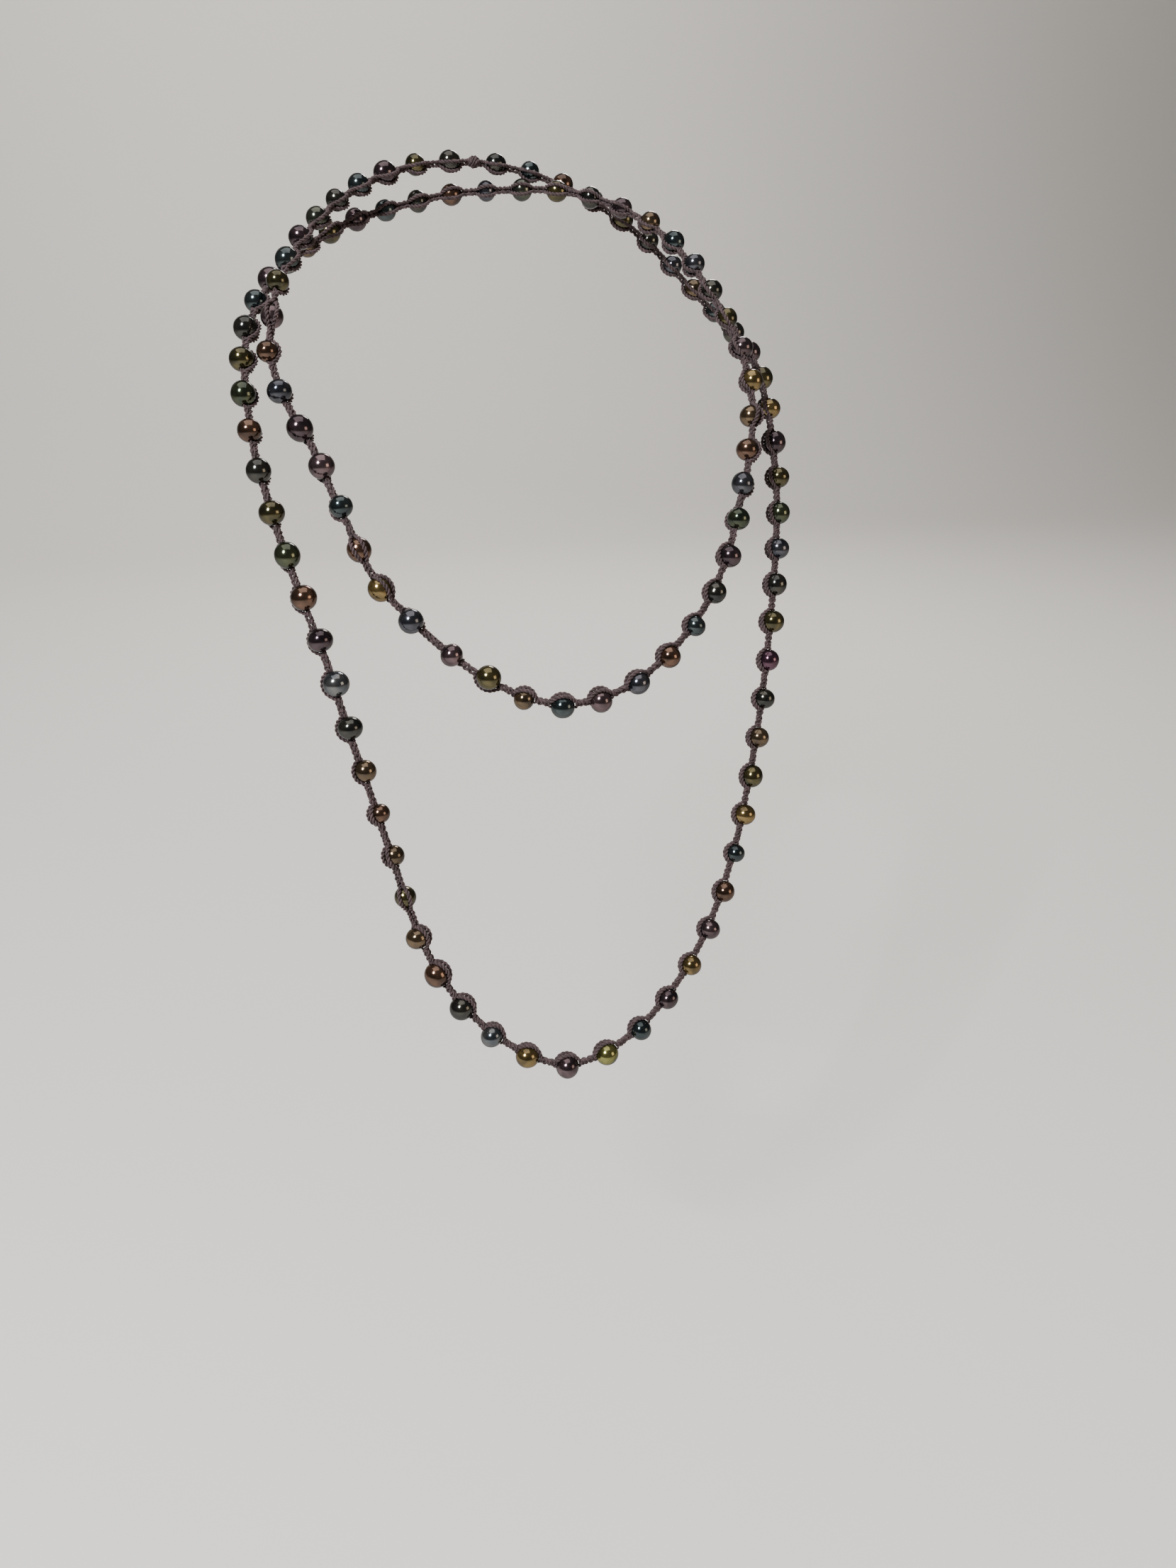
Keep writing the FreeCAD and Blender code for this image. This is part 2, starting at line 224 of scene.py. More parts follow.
# Lengths in the order of the stitches, each with the body that it rides on.
LENGTHS = (
    ("nape_upper_right", "nape"),
    ("inner_side_right", "inner_side"),
    ("inner_front", "inner_front"),
    ("inner_side_left", "inner_side"),
    ("nape_lower", "nape"),
    ("outer_upper_right", "outer_upper"),
    ("outer_middle_right", "outer_middle"),
    ("outer_front", "outer_front"),
    ("outer_middle_left", "outer_middle"),
    ("outer_upper_left", "outer_upper"),
    ("nape_upper_left", "nape"),
)

# ---- nacre colours, one word per pearl in the order of the stitches ----
PEARL_COLOURS = {
    "nape_upper_right": (
        "charcoal olive aubergine teal charcoal green_grey aubergine teal olive mauve"
        " copper slate aubergine"
    ),
    "inner_side_right": "mauve teal copper",
    "inner_front": "gold slate mauve olive bronze teal mauve slate copper teal charcoal aubergine",
    "inner_side_left": "green slate copper",
    "nape_lower": (
        "bronze gold aubergine olive charcoal slate teal bronze aubergine charcoal olive"
        " green_grey slate copper charcoal teal aubergine olive bronze charcoal aubergine"
        " teal charcoal olive green copper"
    ),
    "outer_upper_right": "charcoal olive green copper aubergine",
    "outer_middle_right": "silver charcoal bronze copper bronze",
    "outer_front": (
        "olive bronze copper charcoal silver gold mauve lime teal aubergine gold mauve"
        " copper teal"
    ),
    "outer_middle_left": "gold olive bronze charcoal magenta olive",
    "outer_upper_left": "charcoal slate green olive aubergine",
    "nape_upper_left": (
        "gold olive aubergine charcoal teal bronze slate charcoal olive aubergine copper"
        " teal charcoal"
    ),
}

# Each nacre: its body colour, and the overtone that drifts across it.
NACRES = {
    "charcoal": ((0.018, 0.020, 0.020), (0.052, 0.048, 0.038)),
    "slate": ((0.026, 0.029, 0.038), (0.078, 0.076, 0.088)),
    "silver": ((0.042, 0.052, 0.064), (0.125, 0.125, 0.122)),
    "teal": ((0.014, 0.022, 0.026), (0.050, 0.062, 0.062)),
    "green": ((0.018, 0.026, 0.018), (0.060, 0.066, 0.034)),
    "green_grey": ((0.024, 0.030, 0.026), (0.072, 0.074, 0.054)),
    "lime": ((0.058, 0.060, 0.014), (0.190, 0.180, 0.055)),
    "olive": ((0.030, 0.028, 0.014), (0.094, 0.076, 0.030)),
    "gold": ((0.060, 0.042, 0.016), (0.205, 0.140, 0.052)),
    "bronze": ((0.040, 0.028, 0.018), (0.128, 0.086, 0.048)),
    "copper": ((0.038, 0.021, 0.014), (0.135, 0.073, 0.046)),
    "mauve": ((0.036, 0.023, 0.028), (0.120, 0.078, 0.084)),
    "magenta": ((0.038, 0.016, 0.028), (0.110, 0.050, 0.075)),
    "aubergine": ((0.022, 0.014, 0.019), (0.074, 0.048, 0.054)),
}


def unit(v):
    """A vector of length one, or each row of an array made so."""
    v = np.asarray(v, float)
    return v / np.maximum(np.linalg.norm(v, axis=-1, keepdims=True), 1e-12)


def square_to(v, axis):
    """The part of v square to an axis, of length one."""
    return unit(v - axis * (v * axis).sum(-1, keepdims=True))


def along_of(points):
    """How far along a line each of its points is."""
    steps = np.linalg.norm(np.diff(points, axis=0), axis=1)
    return np.concatenate([[0], np.cumsum(steps)])


def looked_up(at, along, values):
    """Rows of values at distances along, by straight interpolation."""
    return np.stack([np.interp(at, along, column) for column in values.T], axis=-1)


def link(name, mesh):
    obj = bpy.data.objects.new(name, mesh)
    bpy.context.scene.collection.objects.link(obj)
    return obj


def mesh_object(name, points, faces, materials, face_materials=None):
    """A smooth-shaded mesh object."""
    mesh = bpy.data.meshes.new(name)
    mesh.from_pydata([tuple(p) for p in points], [], faces)
    for material in materials:
        mesh.materials.append(material)
    if face_materials is not None:
        mesh.polygons.foreach_set("material_index", face_materials)
    mesh.polygons.foreach_set("use_smooth", [True] * len(faces))
    mesh.validate()
    mesh.update()
    return link(name, mesh)


# ---- materials ----
def material_named(name):
    """A new material with its shader and the means to add nodes to it."""
    material = bpy.data.materials.new(name)
    material.use_nodes = True
    nodes = material.node_tree.nodes
    return material, nodes, material.node_tree.links, nodes["Principled BSDF"]


def noise(nodes, links, scale, detail=3.0, roughness=0.5, distortion=0.0):
    """Noise in the piece's own space, at so many features per metre."""
    place = nodes.new("ShaderNodeTexCoord")
    texture = nodes.new("ShaderNodeTexNoise")
    texture.inputs["Scale"].default_value = scale
    texture.inputs["Detail"].default_value = detail
    texture.inputs["Roughness"].default_value = roughness
    texture.inputs["Distortion"].default_value = distortion
    links.new(place.outputs["Object"], texture.inputs["Vector"])
    return texture.outputs["Fac"]


def ramp(nodes, links, factor, stops):
    """Colours along a factor."""
    node = nodes.new("ShaderNodeValToRGB")
    elements = node.color_ramp.elements
    while len(elements) < len(stops):
        elements.new(0.5)
    for element, (place, colour) in zip(elements, stops):
        element.position = place
        element.color = (*colour, 1)
    links.new(factor, node.inputs["Fac"])
    return node.outputs["Color"]


def ranged(nodes, links, factor, low, high):
    """A factor of 0 to 1 taken to a range."""
    node = nodes.new("ShaderNodeMapRange")
    node.inputs["To Min"].default_value = low
    node.inputs["To Max"].default_value = high
    links.new(factor, node.inputs["Value"])
    return node.outputs["Result"]


def bump(nodes, links, height, strength, distance):
    node = nodes.new("ShaderNodeBump")
    node.inputs["Strength"].default_value = strength
    node.inputs["Distance"].default_value = distance
    links.new(height, node.inputs["Height"])
    return node.outputs["Normal"]


def nacre(name, body, overtone):
    """Dark pearl: a mirror-like nacre whose overtone drifts over the body colour."""
    material, nodes, links, shader = material_named("nacre_" + name)
    drift = noise(nodes, links, 260, 2.0, 0.45, 0.6)
    middle = [(a + b) / 2 for a, b in zip(body, overtone)]
    colour = ramp(nodes, links, drift, ((0.30, body), (0.50, middle), (0.68, overtone)))
    links.new(colour, shader.inputs["Base Color"])
    grain = noise(nodes, links, 1500, 4.0, 0.6)
    links.new(ranged(nodes, links, grain, 0.12, 0.21), shader.inputs["Roughness"])
    skin = noise(nodes, links, 520, 3.0, 0.55)
    links.new(bump(nodes, links, skin, 0.14, 0.00006), shader.inputs["Normal"])
    shader.inputs["Metallic"].default_value = 0.92
    shader.inputs["Specular Tint"].default_value = (0.15, 0.15, 0.17, 1)
    shader.inputs["Coat Weight"].default_value = 0.6
    shader.inputs["Coat Roughness"].default_value = 0.04
    shader.inputs["Coat IOR"].default_value = 1.42
    return material


def thread(name, dark, light):
    """Matt two-ply thread, with its fibres' sheen; its colour is mottled at random between its colour in
    shade (painted shade) and a lighter tone.
    """
    material, nodes, links, shader = material_named(name)
    # Random patches between the thread's colour in shade (painted shade) and a lighter tone; the same noise
    # also sets the roughness.
    shade_and_tone_noise = noise(nodes, links, 700, 3.0, 0.6)
    colour = ramp(nodes, links, shade_and_tone_noise, ((0.32, dark), (0.70, light)))
    links.new(colour, shader.inputs["Base Color"])
    fibres = noise(nodes, links, 7000, 4.0, 0.65, 0.4)
    links.new(bump(nodes, links, fibres, 0.55, 0.0001), shader.inputs["Normal"])
    links.new(ranged(nodes, links, shade_and_tone_noise, 0.62, 0.82), shader.inputs["Roughness"])
    shader.inputs["Specular IOR Level"].default_value = 0.35
    shader.inputs["Sheen Weight"].default_value = 0.18
    shader.inputs["Sheen Roughness"].default_value = 0.45
    shader.inputs["Sheen Tint"].default_value = (0.62, 0.48, 0.52, 1)
    return material


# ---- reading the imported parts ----
def islands(node):
    """Each separate solid of a node: its points, welded, and its triangles."""
    mesh = frame["nodes"][node].data
    points = np.zeros(len(mesh.vertices) * 3)
    mesh.vertices.foreach_get("co", points)
    points = points.reshape(-1, 3)
    mesh.calc_loop_triangles()
    triangles = np.zeros(len(mesh.loop_triangles) * 3, int)
    mesh.loop_triangles.foreach_get("vertices", triangles)
    keys = np.round(points / (0.001 * MM)).astype(int)
    _, first, welded = np.unique(keys, axis=0, return_index=True, return_inverse=True)
    points = points[first]
    triangles = welded.reshape(-1)[triangles].reshape(-1, 3)
    label = np.arange(len(points))
    settled = False
    while not settled:
        lowest = label[triangles].min(1)
        lower = label.copy()
        for corner in range(3):
            np.minimum.at(lower, triangles[:, corner], lowest)
        lower = lower[lower]
        settled = (lower == label).all()
        label = lower
    found = []
    for name in np.unique(label):
        kept = label == name
        place = np.cumsum(kept) - 1
        found.append((points[kept], place[triangles[kept[triangles[:, 0]]]]))
    return found


def read_pearl(points, triangles):
    """A drilled pearl's middle, bore direction, radius and half length."""
    middle = (points.max(0) + points.min(0)) / 2
    a, b, c = (points[triangles[:, i]] for i in range(3))
    normals = np.cross(b - a, c - a)
    inward = (normals * ((a + b + c) / 3 - middle)).sum(1) < 0
    wall = points[np.unique(triangles[inward])]
    bore = unit(np.linalg.svd(wall - wall.mean(0), full_matrices=False)[2][0])
    side = (wall - wall.mean(0)) @ bore > 0
    centre = (wall[side].mean(0) + wall[~side].mean(0)) / 2
    across = points - centre
    along = across @ bore
    radius = np.linalg.norm(across - along[:, None] * bore, axis=1).max()
    mouth = np.abs(along).max()
    half = mouth / math.sqrt(1 - (BORE_RADIUS / radius) ** 2)
    return {"centre": centre, "bore": bore, "radius": radius, "half": half}


def read_pearls():
    """Every pearl, with its node, and the side that it hangs on."""
    strands = [p for n in frame["nodes"] if n.startswith("threads_") for p, _ in islands(n)]
    middles = np.array([p.mean(0) for p in strands])
    found = []
    for node in sorted(frame["nodes"]):
        if not node.startswith("pearl"):
            continue
        for points, triangles in islands(node):
            pearl = read_pearl(points, triangles)
            near = np.linalg.norm(middles - pearl["centre"], axis=1) < pearl["radius"]
            over = (middles[near] - pearl["centre"]).sum(0)
            pearl["hang"] = -square_to(over, pearl["bore"])
            pearl["node"] = node
            found.append(pearl)
    return found


# ---- the rope's line ----
def spline_points(name):
    """Points down the middle of one length of rope, read from its spline."""
    curve = bpy.data.curves.new(name, "CURVE")
    curve.dimensions = "3D"
    spline = curve.splines.new("NURBS")
    route = ROUTES[name]
    spline.points.add(len(route) - 1)
    for point, place in zip(spline.points, route):
        point.co = (*place, 1)
    spline.order_u = 3
    spline.use_endpoint_u = True
    spline.resolution_u = SPLINE_RESOLUTION
    obj = bpy.data.objects.new(name, curve)
    mesh = bpy.data.meshes.new_from_object(obj)
    points = np.array([v.co for v in mesh.vertices], float)
    bpy.data.objects.remove(obj)
    bpy.data.curves.remove(curve)
    bpy.data.meshes.remove(mesh)
    return points


def eased(t):
    return t * t * (3 - 2 * t)


class Rope:
    """The middle of the whole rope, and which way its stitches face along it."""

    def __init__(self, pearls):
        self.lines = {name: spline_points(name) for name, _ in LENGTHS}
        points = [self.lines[name] for name, _ in LENGTHS]
        whole = np.concatenate([points[0][:1]] + [p[1:] for p in points])
        along = along_of(whole)
        self.length = along[-1]
        self.ends = {}
        start = 0.0
        for name, _ in LENGTHS:
            end = start + along_of(self.lines[name])[-1]
            self.ends[name] = (start, end)
            start = end
        self.at = np.linspace(0, self.length, round(self.length / ROPE_STEP) + 1)
        spline = looked_up(self.at, along, whole)
        self.place_pearls(pearls, spline)
        self.pearls = sorted(pearls, key=lambda pearl: pearl["at"])
        places = np.array([pearl["at"] for pearl in self.pearls])
        chain = [p["centre"] - p["hang"] * CHAIN_TO_PEARL for p in self.pearls]
        shifts = np.array(chain) - looked_up(places, self.at, spline)
        self.line = spline + looked_up(self.at, places, shifts)
        self.heading = unit(np.gradient(self.line, axis=0))
        self.face = self.faces(places)

    def place_pearls(self, pearls, spline):
        """How far along the rope each pearl is, on which length, and its bore's way."""
        heading = unit(np.gradient(spline, axis=0))
        for pearl in pearls:
            name = next(n for n, _ in LENGTHS if pearl["node"].split("_", 1)[1].startswith(n))
            start, end = self.ends[name]
            inside = np.flatnonzero((self.at >= start) & (self.at <= end))
            far = np.linalg.norm(spline[inside] - pearl["centre"], axis=1)
            nearest = inside[far.argmin()]
            pearl["length"] = name
            pearl["at"] = self.at[nearest]
            if pearl["bore"] @ heading[nearest] < 0:
                pearl["bore"] = -pearl["bore"]

    def faces(self, places):
        """The stitches face away from where the pearls hang, and turn evenly between."""
        hangs = np.array([pearl["hang"] for pearl in self.pearls])
        before = np.clip(np.searchsorted(places, self.at) - 1, 0, len(places) - 2)
        share = (self.at - places[before]) / (places[before + 1] - places[before])
        share = eased(np.clip(share, 0, 1))
        first = square_to(-hangs[before], self.heading)
        last = square_to(-hangs[before + 1], self.heading)
        sine = (np.cross(first, last) * self.heading).sum(1)
        turn = np.arctan2(sine, (first * last).sum(1)) * share
        face = first * np.cos(turn)[:, None]
        return face + np.cross(self.heading, first) * np.sin(turn)[:, None]

    def point(self, at, side, front):
        """A point beside the rope's middle, sideways and towards the stitches' face."""
        middle = looked_up(np.array([at]), self.at, self.line)[0]
        heading = unit(looked_up(np.array([at]), self.at, self.heading)[0])
        face = square_to(looked_up(np.array([at]), self.at, self.face)[0], heading)
        return middle + np.cross(heading, face) * side + face * front


# ---- the yarn ----
class Yarn:
    """The points that the thread is worked through, in order."""

    def __init__(self):
        self.points = []
        self.at = []
        self.thickness = []

    def to(self, point, at, thickness=1.0):
        self.points.append(point)
        self.at.append(at)
        self.thickness.append(thickness)


def plain_leg(rope, yarn, start, end, hand):
    """From a stitch's foot to its head on one side, as (place, side, front)."""
    long = end - start
    for place, side, front in (
        (start - FOOT_BACK, *FOOT),
        (start + 0.28 * long, 0.52, 0.34),
        (start + 0.78 * long, 0.68, 0.30),
        (end + HEAD_AHEAD, *HEAD),
    ):
        yield rope.point(place, hand * side * YARN, front * YARN), place, 1.0


def pearl_leg(rope, pearl, start, end, hand):
    """The same over a pearl, hugging it."""
    foot = start - FOOT_BACK
    yield rope.point(foot, hand * FOOT[0] * YARN, FOOT[1] * YARN), foot, 1.0
    across = np.cross(pearl["bore"], -pearl["hang"]) * hand
    over = -pearl["hang"] * math.cos(LEG_SPREAD) + across * math.sin(LEG_SPREAD)
    rise = pearl["radius"] + LEG_RISE
    reach = pearl["half"] + LEG_RISE
    for degrees in LEG_TURNS:
        turn = math.radians(degrees)
        base = pearl["centre"] - pearl["bore"] * reach * math.cos(turn)
        point = base + over * rise * math.sin(turn)
        yield point, pearl["at"] - reach * math.cos(turn), LEG_YARN
    head = end + HEAD_AHEAD
    yield rope.point(head, hand * HEAD[0] * YARN, HEAD[1] * YARN), head, 1.0


def stitch(rope, yarn, start, end, pearl=None):
    """One chain stitch: a loop of two legs, and the strand that goes on behind it."""
    leg = plain_leg if pearl is None else pearl_leg
    subject = yarn if pearl is None else pearl
    for point, at, thickness in leg(rope, subject, start, end, 1):
        yarn.to(point, at, thickness)
    yarn.to(rope.point(end + LOOP_AHEAD, 0, -0.34 * YARN), end + LOOP_AHEAD)
    for point, at, thickness in reversed(list(leg(rope, subject, start, end, -1))):
        yarn.to(point, at, thickness)
    if pearl is None:
        for share, side in ((0.28, -0.10), (0.74, 0.10)):
            at = start + share * (end - start)
            yarn.to(rope.point(at, side * YARN, -0.58 * YARN), at, BACK_YARN)
        return
    for share, thickness in ((-1.10, 0.8), (-0.75, BORE_YARN), (0.75, BORE_YARN), (1.10, 0.8)):
        point = pearl["centre"] + pearl["bore"] * pearl["half"] * share
        yarn.to(point, pearl["at"] + pearl["half"] * share, thickness)


def plain_stitches(rope, yarn, start, end):
    """As many stitches as fit between two places."""
    count = max(1, round((end - start) / STITCH))
    for index in range(count):
        step = (end - start) / count
        stitch(rope, yarn, start + index * step, start + (index + 1) * step)


def work_yarn(rope):
    """The whole rope's yarn."""
    yarn = Yarn()
    here = 0.0
    for pearl in rope.pearls:
        start = pearl["at"] - pearl["half"] - PEARL_MARGIN
        end = pearl["at"] + pearl["half"] + PEARL_MARGIN
        plain_stitches(rope, yarn, here, start)
        stitch(rope, yarn, start, end, pearl)
        here = end
    plain_stitches(rope, yarn, here, rope.length)
    return yarn


def smoothed(values, steps):
    """A Catmull-Rom line through the rows of values, with so many steps each."""
    padded = np.concatenate([values[:1], values, values[-1:]])
    pieces = []
    for index, count in enumerate(steps):
        a, b, c, d = padded[index:index + 4]
        t = (np.arange(count) / count)[:, None]
        pieces.append(0.5 * (
            2 * b + (c - a) * t + (2 * a - 5 * b + 4 * c - d) * t ** 2
            + (3 * b - a - 3 * c + d) * t ** 3
        ))
    return np.concatenate(pieces + [values[-1:]])


def carried(headings, first):
    """A direction square to a line, carried along it without twisting."""
    sides = np.zeros_like(headings)
    side = square_to(first, headings[0])
    for index, heading in enumerate(headings):
        side = square_to(side, heading)
        sides[index] = side
    return sides


def fine_yarn(yarn):
    """The yarn's middle, thickness and place on the rope at short steps, with its plies."""
    rows = np.column_stack([np.array(yarn.points), yarn.at, yarn.thickness])
    spans = np.linalg.norm(np.diff(rows[:, :3], axis=0), axis=1)
    steps = np.maximum(np.round(spans / YARN_STEP).astype(int), 1)
    fine = smoothed(rows, steps)
    line = fine[:, :3]
    headings = unit(np.gradient(line, axis=0))
    sides = carried(headings, np.array([0.0, 0.0, 1.0]))
    twist = along_of(line) / PLY_TWIST * 2 * math.pi
    other = np.cross(headings, sides)
    out = sides * np.cos(twist)[:, None] + other * np.sin(twist)[:, None]
    return {"line": line, "at": fine[:, 3], "thick": fine[:, 4], "heading": headings, "out": out}


def ring(centre, heading, out, radius):
    """Points round a ply, square to the way it runs."""
    other = np.cross(heading, out)
    turn = np.arange(PLY_SIDES) / PLY_SIDES * 2 * math.pi
    return centre + radius * (np.outer(np.cos(turn), out) + np.outer(np.sin(turn), other))


def ply_rings(yarn, half_turn):
    """One ply of a yarn: a helix round its middle, as rings."""
    out = yarn["out"] * half_turn
    share = (PLY_SHARE * YARN * yarn["thick"])[:, None]
    line = yarn["line"] + out * share
    heading = unit(np.gradient(line, axis=0))
    out = square_to(out, heading)
    return [
        ring(*row, PLY_SHARE * YARN * thick)
        for row, thick in zip(zip(line, heading, out), yarn["thick"])
    ]


def tube(rings, points, faces):
    """Adds a closed tube through rings of points."""
    first = len(points)
    sides = len(rings[0])
    for one in rings:
        points.extend(one)
    for index in range(len(rings) - 1):
        for side in range(sides):
            a = first + index * sides + side
            b = first + index * sides + (side + 1) % sides
            faces.append((a, b, b + sides, a + sides))
    faces.append(tuple(range(first + sides - 1, first - 1, -1)))
    last = first + (len(rings) - 1) * sides
    faces.append(tuple(range(last, last + sides)))


def runs_between(at, start, end):
    """The stretches of yarn that lie between two places on the rope."""
    inside = np.flatnonzero((at >= start) & (at <= end))
    return np.split(inside, np.flatnonzero(np.diff(inside) > 1) + 1)


def rope_objects(rope, material):
    """The yarn of every length of rope, as one object each."""
    yarn = fine_yarn(work_yarn(rope))
    plies = [ply_rings(yarn, 1), ply_rings(yarn, -1)]
    found = {}
    for name, _ in LENGTHS:
        start, end = rope.ends[name]
        start = start if start > 0 else -1.0
        end = end if end < rope.length else rope.length + 1.0
        points, faces = [], []
        for run in runs_between(yarn["at"], start, end):
            last = min(run[-1] + 2, len(yarn["at"]))
            for rings in plies:
                if last - run[0] > 1:
                    tube(rings[run[0]:last], points, faces)
        found[name] = mesh_object("rope_" + name, points, faces, [material])
    return found


# ---- pearls ----
def pearl_points(pearl, rings, sides, seed):
    """A drilled pearl as rings round its bore, from one mouth to the other."""
    random = np.random.default_rng(seed)
    mouth = math.asin(BORE_RADIUS * MOUTH_WIDTH / pearl["radius"])
    lean = random.uniform(-0.035, 0.035)
    waist = random.uniform(0, 0.018)
    waist_at = random.uniform(-0.5, 0.5)
    turns = np.linspace(mouth, math.pi - mouth, rings)
    along = -np.cos(turns) * pearl["half"]
    around = np.sin(turns) * pearl["radius"]
    place = np.linspace(-1, 1, rings)
    shrink = 1 - np.abs(lean) * 0.5 * (1 + np.sign(lean) * place) * (1 - place ** 2) ** 0.5
    shrink -= waist * np.exp(-((place - waist_at) / 0.16) ** 2)
    around = around * shrink
    depth = pearl["half"] * math.cos(mouth) * 0.93
    along = np.concatenate([[-depth], along, [depth]])
    around = np.concatenate([[BORE_RADIUS], around, [BORE_RADIUS]])
    side = square_to(pearl["hang"], pearl["bore"])
    other = np.cross(pearl["bore"], side)
    angle = np.arange(sides) / sides * 2 * math.pi
    outward = np.outer(np.cos(angle), side) + np.outer(np.sin(angle), other)
    points = pearl["centre"] + along[:, None, None] * pearl["bore"]
    return (points + around[:, None, None] * outward).reshape(-1, 3)


def pearl_faces(first, rows, sides):
    """Faces between the rings of a pearl, closed through its bore."""
    faces = []
    for row in range(rows):
        for side in range(sides):
            a = first + row * sides + side
            b = first + row * sides + (side + 1) % sides
            c = first + (row + 1) % rows * sides + (side + 1) % sides
            d = first + (row + 1) % rows * sides + side
            faces.append((a, b, c, d))
    return faces


def pearl_objects(rope, nacres):
    """Every node's pearls, and the lengths of rope that they are on."""
    counts = {name: 0 for name, _ in LENGTHS}
    by_node = {}
    for pearl in rope.pearls:
        words = PEARL_COLOURS[pearl["length"]].split()
        pearl["colour"] = words[counts[pearl["length"]]]
        counts[pearl["length"]] += 1
        by_node.setdefault(pearl["node"], []).append(pearl)
    found = {}
    for node, pearls in by_node.items():
        points, faces, colours = [], [], []
        used = sorted({pearl["colour"] for pearl in pearls})
        for pearl in pearls:
            seed = round(pearl["at"] / MM)
            added = pearl_points(pearl, PEARL_RINGS, PEARL_SIDES, seed)
            faces += pearl_faces(len(points), PEARL_RINGS + 2, PEARL_SIDES)
            colours += [used.index(pearl["colour"])] * ((PEARL_RINGS + 2) * PEARL_SIDES)
            points.extend(added)
        materials = [nacres[word] for word in used]
        obj = mesh_object("nacre_" + node, points, faces, materials, colours)
        found[node] = (obj, pearls[0]["length"])
    return found


# ---- the knot that closes the rope ----
def knot_object(material):
    """A small wound knot where the rope's two ends are tied, behind the nape."""
    points = np.array([v.co for v in frame["nodes"]["join_knot"].data.vertices])
    middle = (points.max(0) + points.min(0)) / 2
    axis = np.linalg.svd(points - points.mean(0), full_matrices=False)[2][0]
    half = np.abs((points - middle) @ axis).max()
    radius = np.linalg.norm(np.cross(points - middle, axis), axis=1).max()
    side = square_to(np.array([0.0, 0.0, 1.0]), axis)
    other = np.cross(axis, side)
    t = np.linspace(0, 1, KNOT_STEPS)
    turn = t * KNOT_WINDS * 2 * math.pi
    wide = (radius - YARN * 0.5) * np.sin(np.clip(t * math.pi, 0.35, math.pi - 0.35)) ** 0.5
    wide = wide * (1 + 0.10 * np.sin(turn * 0.37))
    line = middle + np.outer((t * 2 - 1) * (half - YARN * 0.5), axis)
    line += wide[:, None] * (np.outer(np.cos(turn), side) + np.outer(np.sin(turn), other))
    headings = unit(np.gradient(line, axis=0))
    sides = carried(headings, axis)
    twist = along_of(line) / PLY_TWIST * 2 * math.pi
    out = sides * np.cos(twist)[:, None] + np.cross(headings, sides) * np.sin(twist)[:, None]
    wound = {"line": line, "thick": np.ones(KNOT_STEPS), "out": out}
    points, faces = [], []
    for half_turn in (1, -1):
        tube(ply_rings(wound, half_turn), points, faces)
    core = [
        ring(middle + axis * half * place, axis, side, radius * 0.55 * size)
        for place, size in ((-0.9, 0.7), (-0.5, 1.0), (0.5, 1.0), (0.9, 0.7))
    ]
    tube(core, points, faces)
    return mesh_object("knot", points, faces, [material])


# ---- building ----
# Each thread's dark colour is its colour in shade, painted in at random beside the lighter one.
yarn_material = thread("crochet_thread", (0.016, 0.008, 0.008), (0.058, 0.033, 0.035))
knot_material = thread("knot_thread", (0.015, 0.007, 0.008), (0.050, 0.029, 0.031))
nacres = {name: nacre(name, *colours) for name, colours in NACRES.items()}

rope = Rope(read_pearls())
pearls = pearl_objects(rope, nacres)
for node, (obj, _) in pearls.items():
    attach(obj, body_of(frame["nodes"][node])[0])
    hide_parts(node)

folds = {joint["child"]: joint for joint in frame["joints"] if "fold" in joint["name"]}
yarns = rope_objects(rope, yarn_material)
for name, body in LENGTHS:
    line = rope.lines[name]
    yarn = yarns[name]
    if body in folds:
        pivot = np.array(folds[body]["pos_m"])
        away = square_to(line.mean(0) - pivot, unit(folds[body]["axis"]))
        start = pivot + away * BEND_START
        end = pivot + away * BEND_END
        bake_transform(yarn, folds[body]["parent"], body, start=tuple(start), end=tuple(end))
    else:
        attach(yarn, body)
    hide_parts("chain_" + name, "threads_" + body)
    tuple(line[0])
    round(float(along_of(line)[-1]), 4)

knot = knot_object(knot_material)
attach(knot, "nape")
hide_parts("join_knot")


# ---- studio ----
def area_light(name, place, target, size, power, colour):
    light = bpy.data.lights.new(name, "AREA")
    light.shape = "RECTANGLE"
    light.size, light.size_y = size
    light.energy = power
    light.color = colour
    obj = link(name, light)
    obj.location = place
    aim = Vector(target) - Vector(place)
    obj.rotation_euler = aim.to_track_quat("-Z", "Y").to_euler()


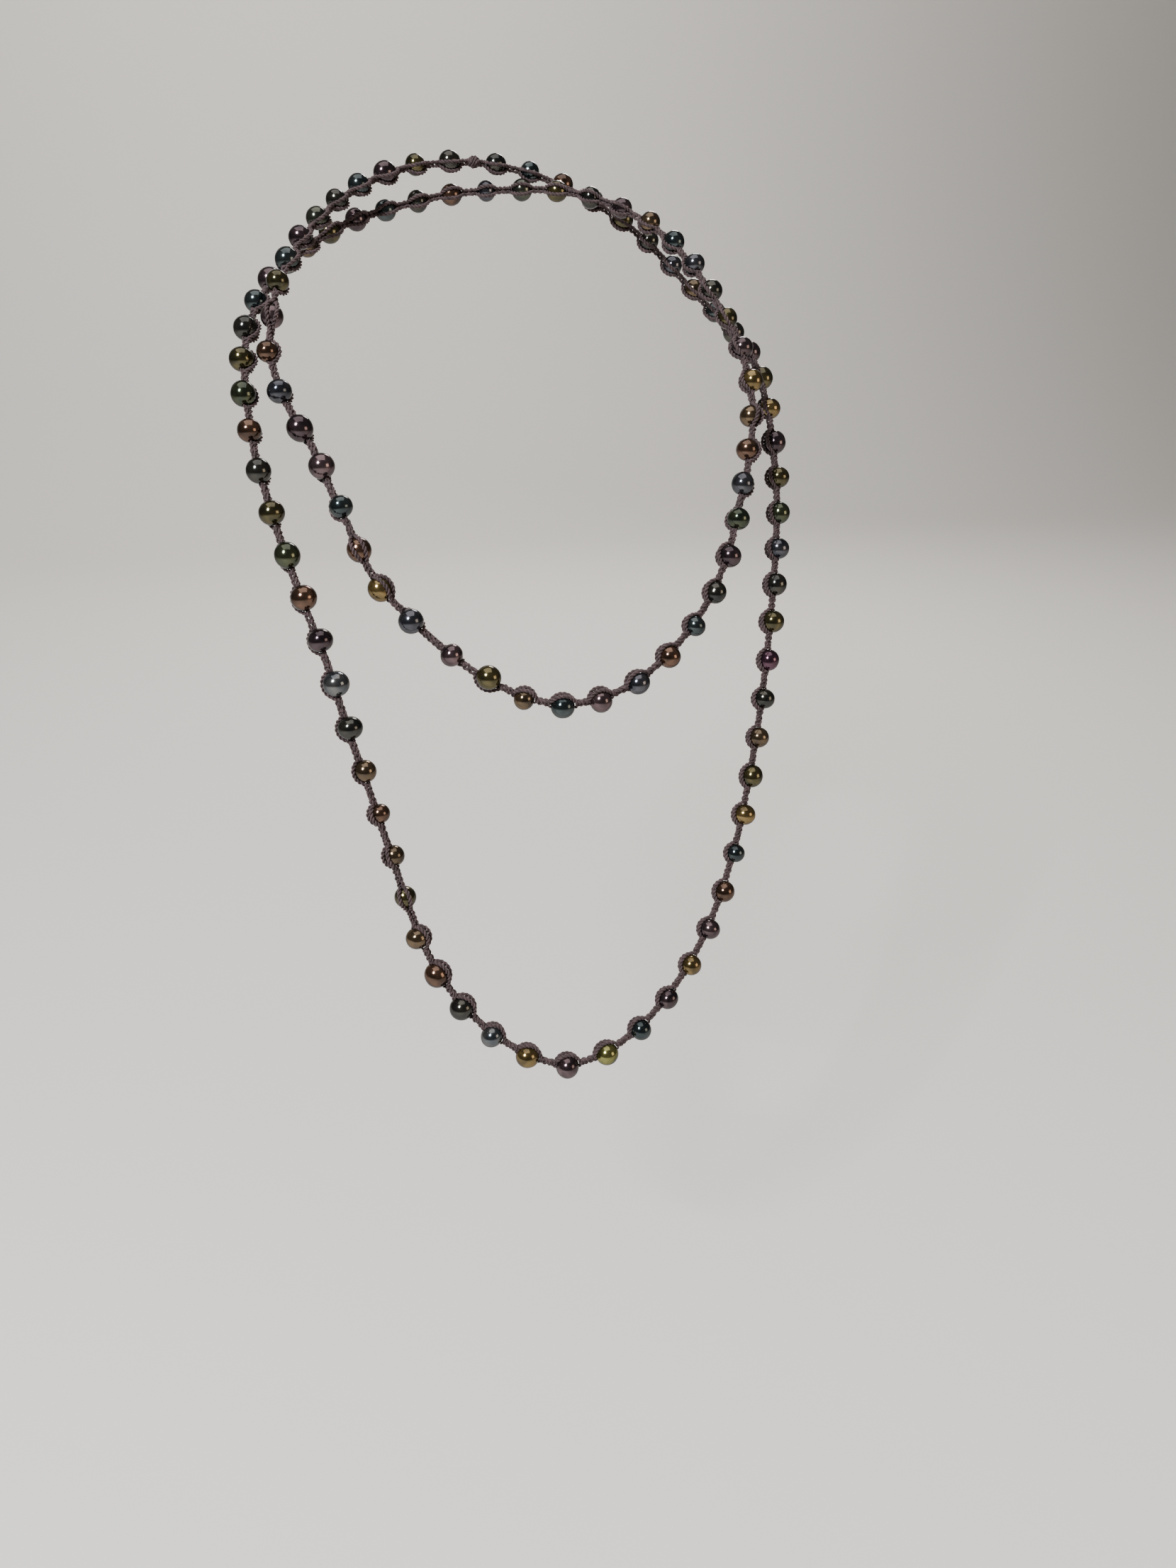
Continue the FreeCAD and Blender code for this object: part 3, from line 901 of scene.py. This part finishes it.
def backdrop():
    """A pale floor below the necklace that sweeps up behind it."""
    material, _, _, shader = material_named("backdrop")
    shader.inputs["Base Color"].default_value = (0.60, 0.58, 0.55, 1)
    shader.inputs["Roughness"].default_value = 0.9
    half = FLOOR_SIZE / 2
    profile = [(-FLOOR_FRONT, 0.0)]
    for step in range(SWEEP_STEPS + 1):
        turn = step / SWEEP_STEPS * math.pi / 2
        y = half - WALL_BEND + WALL_BEND * math.sin(turn)
        profile.append((y, WALL_BEND * (1 - math.cos(turn))))
    profile.append((half, WALL_HEIGHT))
    points = [(x, y, FLOOR_Z + z) for y, z in profile for x in (-FLOOR_FRONT, FLOOR_FRONT)]
    count = len(profile) - 1
    faces = [(2 * i, 2 * i + 1, 2 * i + 3, 2 * i + 2) for i in range(count)]
    mesh_object("backdrop", points, faces, [material])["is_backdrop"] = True


backdrop()
area_light("window", (-0.62, -0.78, 0.62), MIDDLE, (0.20, 0.28), 34, (0.93, 0.97, 1.0))
area_light("room", (0.9, -0.9, 0.1), MIDDLE, (0.5, 0.5), 4, (1.0, 0.80, 0.60))
area_light("back", (0.5, 1.0, 0.7), MIDDLE, (0.4, 0.4), 10, (1.0, 0.95, 0.9))
area_light("overhead", (-0.1, -0.1, 1.5), MIDDLE, (1.6, 1.6), 18, (1.0, 0.97, 0.94))
area_light("wall", (0.0, 0.9, 1.4), (0.0, 2.4, 0.7), (1.4, 0.6), 40, (1.0, 0.97, 0.94))

world = bpy.data.worlds.new("studio")
world.use_nodes = True
background = world.node_tree.nodes["Background"]
background.inputs["Color"].default_value = (0.62, 0.60, 0.57, 1)
background.inputs["Strength"].default_value = 0.24
bpy.context.scene.world = world

eye = bpy.data.cameras.new("camera")
eye.sensor_width = SENSOR
eye.lens = LENS
camera = link("camera", eye)
forward = np.array(CAMERA_AIM)
right = np.cross(forward, CAMERA_UP)
turn = Matrix([right, np.cross(right, forward), -forward]).transposed()
camera.matrix_world = Matrix.Translation(CAMERA_PLACE) @ turn.to_4x4()
bpy.context.scene.camera = camera

boxes = {"cad": cad_box, "visual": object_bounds()}
{key: [list(end) for end in box] for key, box in boxes.items()}
